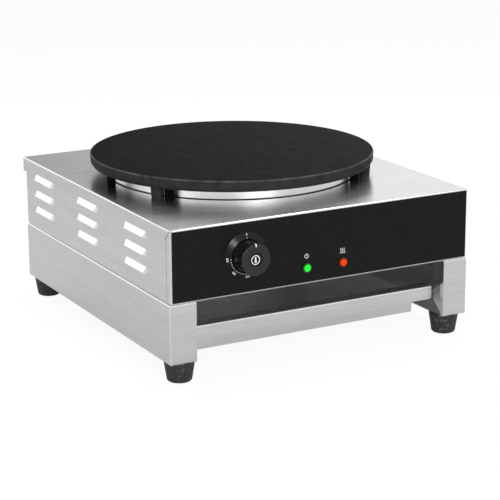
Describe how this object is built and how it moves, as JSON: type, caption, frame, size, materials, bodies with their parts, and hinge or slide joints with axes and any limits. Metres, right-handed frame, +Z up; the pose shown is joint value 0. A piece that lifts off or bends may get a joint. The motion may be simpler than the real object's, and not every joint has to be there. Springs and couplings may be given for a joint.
{
  "type": "electric crepe maker",
  "caption": "Electric crepe maker: round cast iron griddle on a folded steel housing with knob and lamps, above a base frame with a sliding drawer and rubber feet.",
  "frame": {"origin": "centre of the bounding box, on the table under the feet", "axes": "+Z up, -Y towards the front with the knob and the drawer's lip, +X to the right seen from the front"},
  "size_m": [0.459, 0.522, 0.2365],
  "materials": {
    "brushed_steel": "brushed stainless sheet",
    "rubber": "moulded rubber",
    "zinc_steel": "zinc plated",
    "black_fascia": "satin black",
    "black_plastic": "moulded plastic",
    "cast_iron": "seasoned black cast iron",
    "polished_steel": "polished stainless",
    "insulation": "mineral wool board",
    "element_steel": "oxidised tube",
    "copper": "drawn copper",
    "ceramic": "steatite and moulded resin",
    "green_lens": "glossy lens",
    "red_lens": "glossy lens",
    "brass": "turned brass",
    "wire_cover": "silicone insulation"
  },
  "bodies": {
    "body": {"base_side_left": "brushed_steel", "base_side_right": "brushed_steel", "base_rear_panel": "brushed_steel", "runner_left": "brushed_steel", "runner_right": "brushed_steel", "foot_front_left": "rubber", "foot_front_right": "rubber", "foot_rear_left": "rubber", "foot_rear_right": "rubber", "foot_screws": "zinc_steel", "foot_nuts": "zinc_steel", "housing_shell": "brushed_steel", "front_panel": "brushed_steel", "fascia": "black_fascia", "housing_floor": "brushed_steel", "rear_panel": "brushed_steel", "frame_screws": "zinc_steel", "frame_nuts": "zinc_steel", "rear_panel_screws": "zinc_steel", "cable_gland": "black_plastic", "gland_locknut": "black_plastic", "griddle": "cast_iron", "griddle_spacers": "cast_iron", "griddle_studs": "zinc_steel", "griddle_nuts": "zinc_steel", "griddle_earth_stud": "cast_iron", "heat_shield": "polished_steel", "insulation_disc": "insulation", "heating_element_inner": "element_steel", "heating_element_outer": "element_steel", "element_clamp": "zinc_steel", "clamp_bolt": "zinc_steel", "sensor_bulb": "copper", "bulb_clip": "zinc_steel", "capillary_tube": "copper", "overheat_cutout": "ceramic", "dial_ring": "black_plastic", "thermostat": "ceramic", "thermostat_screws": "zinc_steel", "power_lamp_lens": "green_lens", "power_lamp_body": "black_plastic", "heat_lamp_lens": "red_lens", "heat_lamp_body": "black_plastic", "terminal_block": "ceramic", "terminal_screws": "brass", "wire_live": "wire_cover", "wire_neutral": "wire_cover", "wire_element": "wire_cover", "wire_jumpers": "wire_cover", "wire_lamps": "wire_cover"},
    "drawer": {"drawer_box": "brushed_steel", "drawer_front": "brushed_steel", "drawer_rivets": "brushed_steel"},
    "knob": {"knob": "black_plastic", "knob_cap": "black_plastic", "thermostat_shaft": "zinc_steel"}
  },
  "joints": [
    {"name": "drawer_slide", "type": "slide", "parent": "body", "child": "drawer", "axis": [0, -1, 0], "range_m": [0, 0.34]},
    {"name": "knob_turn", "type": "hinge", "parent": "body", "child": "knob", "pos_m": [-0.118, -0.25, 0.1595], "axis": [0, 1, 0], "range_deg": [0, 270]}
  ]
}
